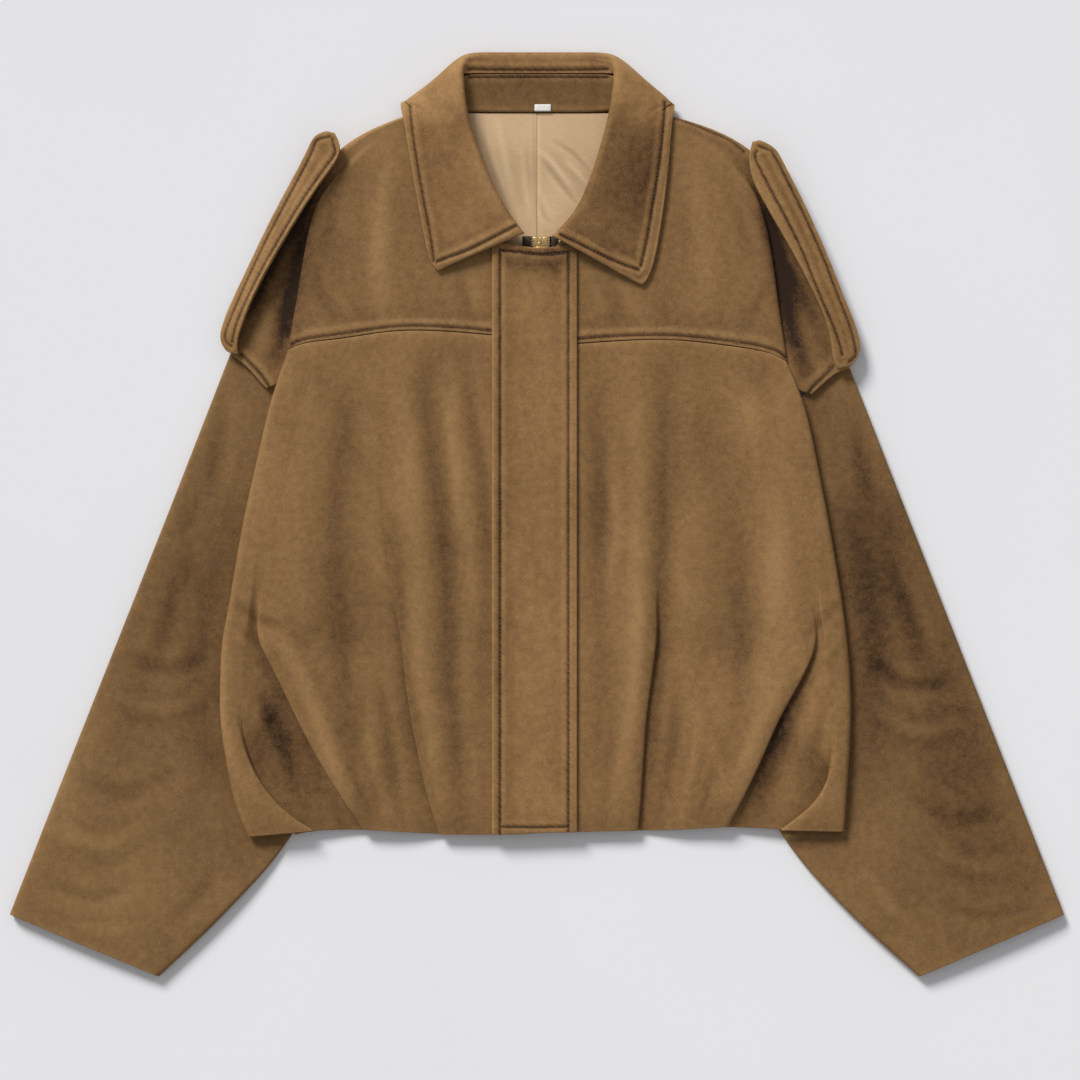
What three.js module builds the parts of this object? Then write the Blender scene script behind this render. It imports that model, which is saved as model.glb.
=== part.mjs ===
import * as THREE from 'three';

// A suede bomber jacket with a shirt collar, laid flat on its back, in millimetres.
// X runs to the right of the picture, Y from hem to collar and Z up from the floor.
// Left and right are the picture's. "out" is the distance from the middle line to either side.

// Cloth, seams and folds
const SUEDE = 1.0;
const LINING = 1.0;
const COLLAR_PLY = 2.2;
const STAND_PLY = 2.0;
const PLACKET_PLY = 2.6;
const STRAP_PLY = 3.0;
const SEAM_GAP = 0.3;
const TURN = 1.5;
const SHOULDER_TURN = 1.6;
const TUCK_SPREAD = 0.6;
const SOFT_SPREAD = 6;
const TUCK_FADE = 45;
const TUCK_LAYERS = [0, 1, 2, 2, 3, 4];
const SIDE_RETURN = 12;
const SHOULDER_RETURN = 9;
const SHOULDER_GAP = 0.7;

// Levels above the floor, to the middle of each wall
const FLOOR_LEVEL = SUEDE / 2;
const SLEEVE_PRESSED = 4.4;
const SLEEVE_DOME = 8.6;
const SLEEVE_CROWN = 1.2;
const SLEEVE_RISE_SHARE = 0.12;
const ARMHOLE_SLANT = 2.6;
const BACK_LIFT_SLEEVE = 6;
const BACK_LIFT_COLLAR = 3.5;
const FRONT_LEVEL = 12;
const FRONT_LIFT_SLEEVE = 4.5;
const LIFT_RAMP = 40;
const LIFT_MARGIN = 18;
const LIFT_FALL = 1.3;
const CORNER_CLEAR = 12;
const HEM_DROOP = 3;
const HEM_DROOP_LENGTH = 30;

// Heights of the main seams, and the width of the fly placket
const HEM_Y = -262;
const BACK_HEM_Y = -256;
const YOKE_Y = 147;
const ARM_TOP_Y = 215;
const ARMHOLE_TOP_Y = 136;
const PLACKET_LEFT = -36.9;
const PLACKET_RIGHT = 32.8;
const ZIP_HALF_GAP = 10;
const PLACKET_SEAM_OUT = 37;

const SIGN = { left: -1, right: 1 };

// Side folds of the body: how far out they lie at each height
const SIDE_FOLDS = [
  { y: -264, left: 235.3, right: 251.5 },
  { y: -251, left: 241.9, right: 253 },
  { y: -234, left: 248.5, right: 253.8 },
  { y: -202, left: 255, right: 256 },
  { y: -169, left: 259.9, right: 257.5 },
  { y: -136, left: 259.9, right: 257 },
  { y: -103, left: 258.3, right: 254.3 },
  { y: -70, left: 251.7, right: 250.1 },
  { y: -5, left: 241.1, right: 239.2 },
  { y: 61, left: 225.5, right: 226 },
  { y: 98, left: 217.3, right: 217.8 },
  { y: 134, left: 207.5, right: 208.3 },
  { y: 167, left: 199.3, right: 200.1 },
  { y: 205, left: 191.9, right: 193.5 },
  { y: 237, left: 186.1, right: 187.8 },
  { y: 264, left: 176, right: 179 },
  { y: 280, left: 161, right: 166 },
  { y: 300, left: 141, right: 145 },
  { y: 320, left: 108, right: 110 },
  { y: 328, left: 94, right: 94.5 },
];

// Shoulder edges, under the straps
const SHOULDER_EDGES = [
  { y: 119, left: 252.5, right: 256.7 },
  { y: 133, left: 251, right: 256.5 },
  { y: 155, left: 248, right: 252.5 },
  { y: 182, left: 238.5, right: 242.5 },
  { y: 210, left: 223.5, right: 231 },
  { y: 239, left: 206, right: 218 },
  { y: 264, left: 190, right: 206 },
  { y: 286, left: 175, right: 193 },
  { y: 303, left: 160, right: 171 },
  { y: 313, left: 144, right: 156 },
  { y: 322, left: 122, right: 127 },
  { y: 328, left: 104, right: 104.5 },
];

// The neckline of the fronts, hidden under the collar
const NECK_EDGES = [
  { y: 215, left: 10, right: 10 },
  { y: 222, left: 14, right: 14 },
  { y: 230, left: 25, right: 25 },
  { y: 245, left: 43, right: 40 },
  { y: 262, left: 54, right: 51 },
  { y: 280, left: 62, right: 60 },
  { y: 300, left: 71, right: 69 },
  { y: 320, left: 79, right: 78 },
  { y: 328, left: 81.5, right: 81.5 },
];

// How far in the sleeves reach under the body at each height
const SLEEVE_REACH = [
  { y: -300, left: 230, right: 230 },
  { y: -262, left: 198, right: 197.6 },
  { y: -180, left: 163, right: 164 },
  { y: -118, left: 150, right: 152 },
  { y: -20, left: 165, right: 167 },
  { y: 50, left: 190, right: 192 },
  { y: 98, left: 216, right: 220 },
  { y: 128, left: 243, right: 252 },
];

// Yoke seam and hem line: their height at each distance out
const YOKE_SEAM = [
  { out: 10, left: 146, right: 139.5 },
  { out: 37, left: 146.8, right: 140.2 },
  { out: 63, left: 149.6, right: 142.5 },
  { out: 112, left: 150.9, right: 143.2 },
  { out: 161, left: 144.3, right: 138 },
  { out: 194, left: 139.8, right: 131.5 },
  { out: 209, left: 133, right: 123 },
];
const HEM_LINE = [
  { out: 10, left: -262.8, right: -261.4 },
  { out: 79, left: -263, right: -260 },
  { out: 110, left: -261, right: -259.6 },
  { out: 160, left: -258.5, right: -256.5 },
  { out: 185, left: -260, right: -257 },
  { out: 205, left: -264, right: -259.6 },
  { out: 252, left: -264, right: -260.4 },
];

// Armhole seams in the shoulder corner, from the shoulder edge in and down under the body
const ARMHOLES = {
  left: [
    { u: 0, out: 249.4, y: 138 },
    { u: 0.07, out: 238.5, y: 133.5 },
    { u: 0.17, out: 213, y: 104.5 },
    { u: 0.38, out: 190, y: 50 },
    { u: 0.64, out: 165, y: -20 },
    { u: 1, out: 150, y: -118 },
  ],
  right: [
    { u: 0, out: 254.9, y: 125.5 },
    { u: 0.07, out: 239.5, y: 123 },
    { u: 0.17, out: 217, y: 100.5 },
    { u: 0.38, out: 192, y: 48 },
    { u: 0.64, out: 167, y: -20 },
    { u: 1, out: 152, y: -118 },
  ],
};
const YOKE_ARM_SEAM = [
  { out: 178, left: 147, right: 140 },
  { out: 193, left: 116, right: 110 },
  { out: 205, left: 97, right: 93 },
  { out: 215, left: 96, right: 90 },
  { out: 230, left: 112, right: 102 },
  { out: 243, left: 126.5, right: 115.5 },
  { out: 257, left: 131.5, right: 119.5 },
];

// Sleeves: outer and inner edge at stations from armhole to cuff
const SLEEVES = {
  left: [
    { v: 0, outerOut: 249.4, outerY: 138, innerOut: 150, innerY: -118 },
    { v: 0.25, outerOut: 296.6, outerY: 17, innerOut: 172, innerY: -205 },
    { v: 0.45, outerOut: 333, outerY: -75, innerOut: 204, innerY: -268 },
    { v: 0.75, outerOut: 388, outerY: -213, innerOut: 259, innerY: -331 },
    { v: 1, outerOut: 433.2, outerY: -328.8, innerOut: 310.5, innerY: -379.9 },
  ],
  right: [
    { v: 0, outerOut: 254.9, outerY: 125.5, innerOut: 152, innerY: -118 },
    { v: 0.25, outerOut: 301.5, outerY: 7, innerOut: 172, innerY: -205 },
    { v: 0.45, outerOut: 336.7, outerY: -82.5, innerOut: 204, innerY: -268 },
    { v: 0.75, outerOut: 389.5, outerY: -217, innerOut: 260, innerY: -331 },
    { v: 1, outerOut: 433.2, outerY: -328.8, innerOut: 313.8, innerY: -379.9 },
  ],
};
const SLEEVE_STATIONS = [0, 0.05, 0.11, 0.19, 0.28, 0.38, 0.48, 0.58, 0.68, 0.78, 0.87, 0.95, 1];

// Lower fronts: how far out each dip, crest, tuck and flap lies at each height
const FRONT_LINES = {
  left: [
    { y: 147, dipA: 57, crestA: 79, dipB: 95, crestB: 111, tuckC: 126, dipC: 154, crestC: 168, tuckB: 178, flap: 192 },
    { y: 80, dipA: 51, crestA: 73, dipB: 90.5, crestB: 107, tuckC: 126, dipC: 160, crestC: 182, tuckB: 197, flap: 211 },
    { y: 0, dipA: 45, crestA: 64.5, dipB: 82.5, crestB: 103, tuckC: 124, dipC: 162, crestC: 194, tuckB: 213, flap: 227 },
    { y: -70, dipA: 45, crestA: 60, dipB: 74, crestB: 96, tuckC: 116.5, dipC: 158, crestC: 200, tuckB: 226, flap: 240 },
    { y: -100, dipA: 46, crestA: 58.5, dipB: 72, crestB: 93, tuckC: 111.6, dipC: 155, crestC: 197, tuckB: 230, flap: 245 },
    { y: -130, dipA: 46, crestA: 58, dipB: 70.5, crestB: 90, tuckC: 108.5, dipC: 146, crestC: 182, tuckB: 214, flap: 246 },
    { y: -165, dipA: 45.5, crestA: 57, dipB: 69, crestB: 86, tuckC: 103.5, dipC: 136, crestC: 168, tuckB: 197.8, flap: 245 },
    { y: -200, dipA: 45, crestA: 56, dipB: 66, crestB: 80, tuckC: 96.5, dipC: 125, crestC: 152, tuckB: 179.3, flap: 237 },
    { y: -235, dipA: 44, crestA: 53, dipB: 61, crestB: 72, tuckC: 88.5, dipC: 112, crestC: 135, tuckB: 158.5, flap: 216 },
    { y: -262, dipA: 43, crestA: 51, dipB: 58, crestB: 66, tuckC: 79.5, dipC: 101, crestC: 121, tuckB: 142.5, flap: 183 },
  ],
  right: [
    { y: 147, dipA: 46, crestA: 76, tuckC: 102, crestB: 122, dipB: 142, crestC: 166, tuckB: 178, flap: 192 },
    { y: 80, dipA: 47, crestA: 76, tuckC: 101, crestB: 123, dipB: 144, crestC: 180, tuckB: 198, flap: 212 },
    { y: 0, dipA: 48, crestA: 77, tuckC: 100, crestB: 125, dipB: 150, crestC: 194, tuckB: 213, flap: 226 },
    { y: -70, dipA: 49, crestA: 76, tuckC: 98.5, crestB: 127, dipB: 154, crestC: 200, tuckB: 224, flap: 237 },
    { y: -100, dipA: 49, crestA: 75, tuckC: 98.5, crestB: 127, dipB: 156, crestC: 202, tuckB: 230, flap: 242 },
    { y: -130, dipA: 48, crestA: 72, tuckC: 94.5, crestB: 125, dipB: 155, crestC: 190, tuckB: 219.5, flap: 244 },
    { y: -165, dipA: 47, crestA: 69, tuckC: 89.5, crestB: 120, dipB: 148, crestC: 174, tuckB: 199.3, flap: 244 },
    { y: -200, dipA: 46, crestA: 66, tuckC: 87, crestB: 113, dipB: 136, crestC: 160, tuckB: 184, flap: 243 },
    { y: -235, dipA: 44, crestA: 63, tuckC: 84.7, crestB: 107, dipB: 127, crestC: 147, tuckB: 168, flap: 230 },
    { y: -262, dipA: 42, crestA: 60, tuckC: 82.5, crestB: 102, dipB: 120, crestC: 138, tuckB: 156.5, flap: 200 },
  ],
};

// What each line does: soft lines rise or sink, fading out above "top" and below "bottom".
// Tucks turn the cloth under by "depth": they sink above "gone", and lap from "gone" down to "full".
const FRONT_SHAPES = {
  left: [
    { line: 'dipA', rise: -1.6, top: 120, bottom: -20 },
    { line: 'crestA', rise: 1.4, top: 110, bottom: -50 },
    { line: 'dipB', rise: -3, top: 105, bottom: -190 },
    { line: 'crestB', rise: 1.8, top: 110, bottom: -230 },
    { line: 'tuckC', depth: 22, full: -150, gone: -100, facing: 1 },
    { line: 'dipC', rise: -3.6, top: 115, bottom: -130 },
    { line: 'crestC', rise: 2, top: 120, bottom: -110 },
    { line: 'tuckB', depth: 26, full: -150, gone: -100, facing: 1 },
    { line: 'flap', depth: 12, full: -235, gone: -200, facing: -1 },
  ],
  right: [
    { line: 'dipA', rise: -1.6, top: 60, bottom: -110 },
    { line: 'crestA', rise: 2, top: 110, bottom: -140 },
    { line: 'tuckC', depth: 22, full: -150, gone: -100, facing: 1 },
    { line: 'crestB', rise: 1, top: 100, bottom: -130 },
    { line: 'dipB', rise: -3, top: 95, bottom: -150 },
    { line: 'crestC', rise: 2.4, top: 120, bottom: -110 },
    { line: 'tuckB', depth: 24, full: -165, gone: -120, facing: 1 },
    { line: 'flap', depth: 10, full: -250, gone: -220, facing: -1 },
  ],
};
const YOKE_FOLD = { depth: 22, full: 230, gone: 262 };
const SOFT_FADE = 45;
const CORNER_ROLL = 3.1;
const CORNER_SHORT = 3;
const OUTER_LAYER_LIFT = 2.3;
const CUFF_OF_TUCK = 3;

const FRONT_ROWS = [YOKE_Y, 115, 80, 40, 0, -40, -75, -100, -120, -140, -160, -180, -200, -220, -238, -252, HEM_Y];
const YOKE_ROWS = [YOKE_Y, 170, 194, ARM_TOP_Y, 230, 246, 262, 280, 300, 316, 328];
const CORNER_ROWS = [
  { y: 118, left: 228, right: 232 },
  { y: 100, left: 212, right: 214 },
];

// Collar, from the left leaf's front edge round the neck to the right one's: the seam with the
// stand, the roll, the fall's outer bend and its edge. Behind the neck the fall lies underneath.
const COLLAR_LEFT = [
  { seam: [-12.8, 228.6, 15.6], roll: [-11, 229.4, 20.6], bend: [-72, 203.5, 15.6], edge: [-81, 199, 14.8] },
  { seam: [-23.8, 242.5, 15.8], roll: [-22.1, 243.5, 21], bend: [-79, 210, 16], edge: [-87.4, 205.5, 15] },
  { seam: [-32.1, 256.6, 16], roll: [-30.3, 257.5, 21.5], bend: [-84, 229, 16.4], edge: [-92, 225.5, 15.2] },
  { seam: [-40.4, 273.2, 16.2], roll: [-38.5, 273.9, 22], bend: [-89, 255, 16.6], edge: [-97, 252.5, 15.4] },
  { seam: [-48.7, 294.2, 16.4], roll: [-46.7, 294.4, 22.6], bend: [-95.5, 289, 16.8], edge: [-103.5, 288, 15.6] },
  { seam: [-56.9, 316.5, 16.6], roll: [-54.9, 316.5, 23], bend: [-101, 317, 16.8], edge: [-108, 318, 15.4] },
  { seam: [-58.5, 325, 16.6], roll: [-56.5, 325, 23.2], bend: [-105.5, 329.5, 16.6], edge: [-110.5, 329, 15] },
  { seam: [-60.6, 334.2, 16.4], roll: [-58.6, 334, 23], bend: [-107.5, 339, 11], edge: [-112, 337, 6] },
  { seam: [-62.3, 347.8, 15.6], roll: [-60.3, 348, 22], bend: [-103, 343.5, 7], edge: [-99, 328, 1.5] },
  { seam: [-62, 358, 13.6], roll: [-61, 362, 19], bend: [-84, 357, 6.5], edge: [-84, 318, 1.5] },
  { seam: [-59.5, 361, 11.3], roll: [-60, 370, 14.5], bend: [-68.5, 372, 5], edge: [-72, 315, 1.5] },
  { seam: [-55, 361.8, 9.4], roll: [-56, 374, 10.2], bend: [-57, 379, 4.8], edge: [-58, 314, 1.5] },
  { seam: [-38, 361.8, 8.6], roll: [-38, 374, 8.8], bend: [-38, 379, 4.6], edge: [-38, 314, 1.5] },
  { seam: [-19, 361.8, 8.6], roll: [-19, 374, 8.8], bend: [-19, 379, 4.6], edge: [-19, 315, 1.5] },
  { seam: [0, 361.8, 8.6], roll: [0, 374, 8.8], bend: [0, 379, 4.6], edge: [0, 315, 1.5] },
];
const COLLAR_RIGHT = [
  { seam: [14.9, 226.3, 15.6], roll: [13.1, 227.1, 20.6], bend: [78, 191.5, 15.6], edge: [86.5, 187.5, 14.8] },
  { seam: [23.7, 234.5, 15.8], roll: [22, 235.5, 21], bend: [85, 199, 16], edge: [93.5, 196.5, 15] },
  { seam: [37.1, 250.7, 16], roll: [35.3, 251.7, 21.5], bend: [89, 219, 16.4], edge: [98.5, 218, 15.2] },
  { seam: [45.3, 271.2, 16.2], roll: [43.5, 272.2, 22], bend: [93.5, 243, 16.6], edge: [102.3, 241.5, 15.4] },
  { seam: [53.6, 296, 16.4], roll: [51.7, 296.8, 22.6], bend: [98, 276, 16.8], edge: [107, 275, 15.6] },
  { seam: [58.6, 314.8, 16.6], roll: [56.6, 314.9, 23], bend: [102, 311, 16.8], edge: [109.5, 311, 15.4] },
  { seam: [61, 325, 16.6], roll: [59, 325, 23.2], bend: [106.5, 328.5, 16.6], edge: [111.5, 328, 15] },
  { seam: [63, 334.2, 16.4], roll: [61, 334, 23], bend: [109.5, 338, 11], edge: [113.5, 336, 6] },
  { seam: [65, 347.8, 15.6], roll: [63, 348, 22], bend: [105.5, 343.5, 7], edge: [100.5, 328, 1.5] },
  { seam: [65, 358, 13.6], roll: [64, 362, 19], bend: [89, 356.5, 6.5], edge: [86, 318, 1.5] },
  { seam: [62.5, 361, 11.3], roll: [63, 370, 14.5], bend: [73, 371, 5], edge: [74, 315, 1.5] },
  { seam: [57, 361.8, 9.4], roll: [59, 374, 10.2], bend: [60.5, 379, 4.8], edge: [60, 314, 1.5] },
  { seam: [39, 361.8, 8.6], roll: [40, 374, 8.8], bend: [40, 379, 4.6], edge: [40, 314, 1.5] },
  { seam: [19, 361.8, 8.6], roll: [19, 374, 8.8], bend: [19, 379, 4.6], edge: [19, 315, 1.5] },
];

// The stand's lower edge on the neckline, one for each collar station on the left
const STAND_FOOT = [
  [34, 227, 14], [42, 238, 14], [52, 250, 14], [61, 270, 14], [69, 293, 14], [77, 317, 14.2],
  [79.5, 326, 14.2], [81, 333, 13.6], [80, 338, 11.4], [75, 337, 8.4], [67, 333, 6.6], [57, 330.6, 6],
  [38, 330.2, 6], [19, 330.2, 6], [0, 330.2, 6],
];

// Shoulder straps: outer and inner edge from the tip by the collar to the sleeve seam
const STRAPS = {
  left: [
    { outer: [171, 312.5, 16.5], inner: [166.5, 311.5, 17.5] },
    { outer: [181.5, 310, 15.5], inner: [162, 305, 18.5] },
    { outer: [187, 300, 14.5], inner: [161, 296, 19.5] },
    { outer: [194, 286, 13.5], inner: [166.5, 285, 20] },
    { outer: [206.5, 263, 12], inner: [182, 264, 20.5] },
    { outer: [222.5, 232, 10.5], inner: [202, 232, 20.5] },
    { outer: [237, 201, 9.5], inner: [219, 203, 20] },
    { outer: [250, 173.5, 9.5], inner: [234, 174, 19] },
    { outer: [257.5, 155, 10], inner: [242, 152.5, 17.5] },
    { outer: [259.5, 142, 10.5], inner: [245.5, 141, 15] },
    { outer: [253, 133, 11], inner: [245, 131, 12.6] },
  ],
  right: [
    { outer: [181.5, 305.5, 16.5], inner: [177, 304.5, 17] },
    { outer: [195, 299.5, 16], inner: [173.5, 294, 18] },
    { outer: [200, 291, 15], inner: [174, 286, 18.5] },
    { outer: [207.5, 277, 14], inner: [177, 272, 18.5] },
    { outer: [222, 248, 13], inner: [191, 246, 18.5] },
    { outer: [238, 212, 12], inner: [209, 215, 18.5] },
    { outer: [248, 186, 11.5], inner: [223, 188, 18] },
    { outer: [257, 164, 11.5], inner: [234.5, 164, 17] },
    { outer: [263.5, 146, 11.5], inner: [241, 143, 16] },
    { outer: [264.5, 131, 11.5], inner: [242.5, 127, 14.5] },
    { outer: [257, 121.5, 11.5], inner: [247, 119.5, 12.8] },
  ],
};

// Top edge of the placket, rolled over, and the zip that ends behind it
const PLACKET_TOP = [
  { x: -37, y: 223.5 },
  { x: -30, y: 222 },
  { x: -14, y: 219.8 },
  { x: 3, y: 217.3 },
  { x: 20, y: 219.8 },
  { x: 33, y: 222 },
];
const ZIP_TAPE = { ply: 0.8, foot: -250, head: 228 };
const ZIP_TAPE_EDGES = [
  { y: 217, left: 1.5, right: 1.5, width: 12.5 },
  { y: 219.2, left: 4, right: 9.9, width: 8 },
];
const ZIP_SLIDER = { x: 3, width: 13, foot: 219.5, head: 227.5, low: 8.4, high: 12.7 };
const ZIP_PULL = { width: 8, length: 26, ply: 1.0 };
const LABEL = { left: -2, right: 11.5, foot: 330.8, head: 336.4, ply: 0.6 };
const LINING_ROWS = [210, 228, 246, 264, 282, 300, 316, 329.3];
const LINING_HALF = 72;
const NECK_RISE = 1.7;
const ROLL_SEAM_GAP = 1.7;

const smooth = (t) => {
  const s = Math.min(1, Math.max(0, t));
  return s * s * (3 - 2 * s);
};

const mix = (a, b, t) => a + (b - a) * t;

// A smooth curve through one named column of a table, read at any value of its key column
function column(table, key, name) {
  const keys = table.map((row) => row[key]);
  const values = table.map((row) => row[name]);
  const last = keys.length - 1;
  const way = Math.sign(keys[last] - keys[0]);
  const slope = (i) => {
    const after = Math.min(i + 1, last);
    const before = Math.max(i - 1, 0);
    return (values[after] - values[before]) / (keys[after] - keys[before]);
  };
  return (at) => {
    let i = 0;
    while (i < last - 1 && (at - keys[i + 1]) * way > 0) i += 1;
    const span = keys[i + 1] - keys[i];
    const t = Math.min(1, Math.max(0, (at - keys[i]) / span));
    const rise = values[i + 1] - values[i];
    const start = slope(i) * span;
    const end = slope(i + 1) * span;
    return values[i] + t * start + t * t * (3 * rise - 2 * start - end) + t * t * t * (start + end - 2 * rise);
  };
}

const bothSides = (table, key) => ({ left: column(table, key, 'left'), right: column(table, key, 'right') });

const sideFold = bothSides(SIDE_FOLDS, 'y');
const shoulderEdge = bothSides(SHOULDER_EDGES, 'y');
const neckEdge = bothSides(NECK_EDGES, 'y');
const sleeveReach = bothSides(SLEEVE_REACH, 'y');
const yokeSeam = bothSides(YOKE_SEAM, 'out');
const hemLine = bothSides(HEM_LINE, 'out');
const yokeArmSeam = bothSides(YOKE_ARM_SEAM, 'out');
const placketTop = column(PLACKET_TOP, 'x', 'y');

// 0 where the body lies on the floor, 1 where it lies on a sleeve
function overSleeve(side, out, y) {
  const beyond = Math.max(0, y - ARMHOLE_TOP_Y) * LIFT_FALL;
  return smooth((out - sleeveReach[side](y) - beyond + LIFT_MARGIN + LIFT_RAMP) / LIFT_RAMP);
}

function backLevel(side, out, y) {
  const neck = smooth((y - 265) / 40) * (1 - smooth((out - 118) / 32));
  return FLOOR_LEVEL + BACK_LIFT_SLEEVE * overSleeve(side, out, y) + BACK_LIFT_COLLAR * neck;
}

function frontLevel(side, out, y) {
  const droop = Math.max(0, HEM_Y + HEM_DROOP_LENGTH - y) / HEM_DROOP_LENGTH;
  return FRONT_LEVEL + FRONT_LIFT_SLEEVE * overSleeve(side, out, y) - HEM_DROOP * droop * droop;
}

// A row's height where it bends to follow the yoke seam or the hem line
function rowHeight(side, out, y) {
  const toSeam = (yokeSeam[side](out) - YOKE_Y) * (1 - smooth(Math.abs(y - YOKE_Y) / 60));
  const toHem = (hemLine[side](out) - HEM_Y) * (1 - smooth((y - HEM_Y) / 40));
  return y + toSeam + toHem;
}

// Nothing reaches below the floor
const onFloor = (point) => point.setZ(Math.max(0, point.z));

// One closed wall round a grid of middle points, thick across the grid's own normals
function wall(rows, ply, wraps = false) {
  const rowCount = rows.length;
  const count = rows[0].length;
  const last = count - 1;
  const upper = [];
  const lower = [];
  rows.forEach((row, i) => row.forEach((point, j) => {
    const next = wraps ? row[(j + 1) % count] : row[Math.min(j + 1, last)];
    const prior = wraps ? row[(j + last) % count] : row[Math.max(j - 1, 0)];
    const along = new THREE.Vector3().subVectors(next, prior);
    const up = rows[Math.min(i + 1, rowCount - 1)][j];
    const across = new THREE.Vector3().subVectors(up, rows[Math.max(i - 1, 0)][j]);
    const normal = along.cross(across).normalize().multiplyScalar(ply / 2);
    upper.push(onFloor(point.clone().add(normal)));
    lower.push(onFloor(point.clone().sub(normal)));
  }));
  const size = rowCount * count;
  const faces = [];
  const middle = (index) => rows[Math.floor(index / count)][index % count];
  const quad = (a, b, c, d) => faces.push(a, b, c, a, c, d);
  const spans = wraps ? count : last;
  for (let i = 0; i < rowCount - 1; i += 1) {
    for (let j = 0; j < spans; j += 1) {
      const a = i * count + j;
      const b = i * count + ((j + 1) % count);
      const c = b + count;
      const d = a + count;
      const straight = middle(a).distanceTo(middle(c)) <= middle(b).distanceTo(middle(d));
      const [p, q, r, s] = straight ? [a, b, c, d] : [b, c, d, a];
      quad(p, q, r, s);
      quad(size + p, size + s, size + r, size + q);
    }
  }
  for (let j = 0; j < spans; j += 1) {
    const next = (j + 1) % count;
    const end = (rowCount - 1) * count;
    quad(next, j, size + j, size + next);
    quad(end + j, end + next, size + end + next, size + end + j);
  }
  for (let i = 0; i < rowCount - 1 && !wraps; i += 1) {
    const a = i * count;
    const b = a + count;
    quad(a, b, size + b, size + a);
    quad(b + last, a + last, size + a + last, size + b + last);
  }
  return closedGeometry([...upper, ...lower], faces);
}

// A geometry with its faces turned outwards
function closedGeometry(points, faces) {
  let volume = 0;
  for (let k = 0; k < faces.length; k += 3) {
    const [a, b, c] = [points[faces[k]], points[faces[k + 1]], points[faces[k + 2]]];
    volume += a.dot(new THREE.Vector3().crossVectors(b, c));
  }
  const turned = volume < 0 ? [...faces].reverse() : faces;
  const geometry = new THREE.BufferGeometry().setFromPoints(points);
  geometry.setIndex(turned);
  geometry.computeVertexNormals();
  return geometry;
}

const place = (side, { out, y, z }) => new THREE.Vector3(SIGN[side] * out, y, z);

// How far a tuck has sunk, and how far it laps, at one height: it sinks over TUCK_FADE before it laps
function tuckState(shape, y) {
  const sunk = smooth((shape.gone + TUCK_FADE - y) / TUCK_FADE);
  const lap = smooth((shape.gone - y) / (shape.gone - shape.full));
  return { sunk, lap };
}

// The points of a tuck across one row: top edge, turn, underlay, turn, and on below.
// A facing of -1 turns it over, so that the outer cloth lies on the inner.
function tuck({ edge, depth, sunk, lap, facing, turn, spread, y, heightAt, levelAt, before = 0 }) {
  const start = facing > 0 ? edge - turn * lap : edge + (turn + depth) * lap;
  const steps = [0, turn, 0, -depth, -depth - turn, -depth];
  const last = steps.length - 1;
  const near = facing > 0 ? edge - depth : edge;
  const nearLevel = levelAt(near);
  const slope = (levelAt(near + depth) - nearLevel) / depth;
  return steps.map((step, k) => {
    const out = start + step * lap + (k / last - 0.5) * spread * (1 - smooth(lap / 0.3));
    const layer = mix((TUCK_LAYERS[last] * k) / last, TUCK_LAYERS[k], lap);
    return { out, y: heightAt(out, y), z: nearLevel + slope * (out - near) + before - facing * turn * sunk * layer };
  });
}

// The rolled edge of the body or shoulder: over, round and back under by "length"
function rolledEdge(side, edge, y, top, bottom, length, heightAt) {
  const radius = (top - bottom) / 2;
  const bend = radius * Math.SQRT1_2;
  const points = [
    { out: edge - radius, z: top },
    { out: edge - radius + bend, z: top - radius + bend },
    { out: edge, z: top - radius },
    { out: edge - radius + bend, z: bottom + radius - bend },
    { out: edge - radius, z: bottom },
    { out: edge - length, z: bottom + backLevel(side, edge - length, y) - backLevel(side, edge - radius, y) },
  ];
  return points.map((point) => ({ ...point, y: heightAt(point.out, y) }));
}

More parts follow.
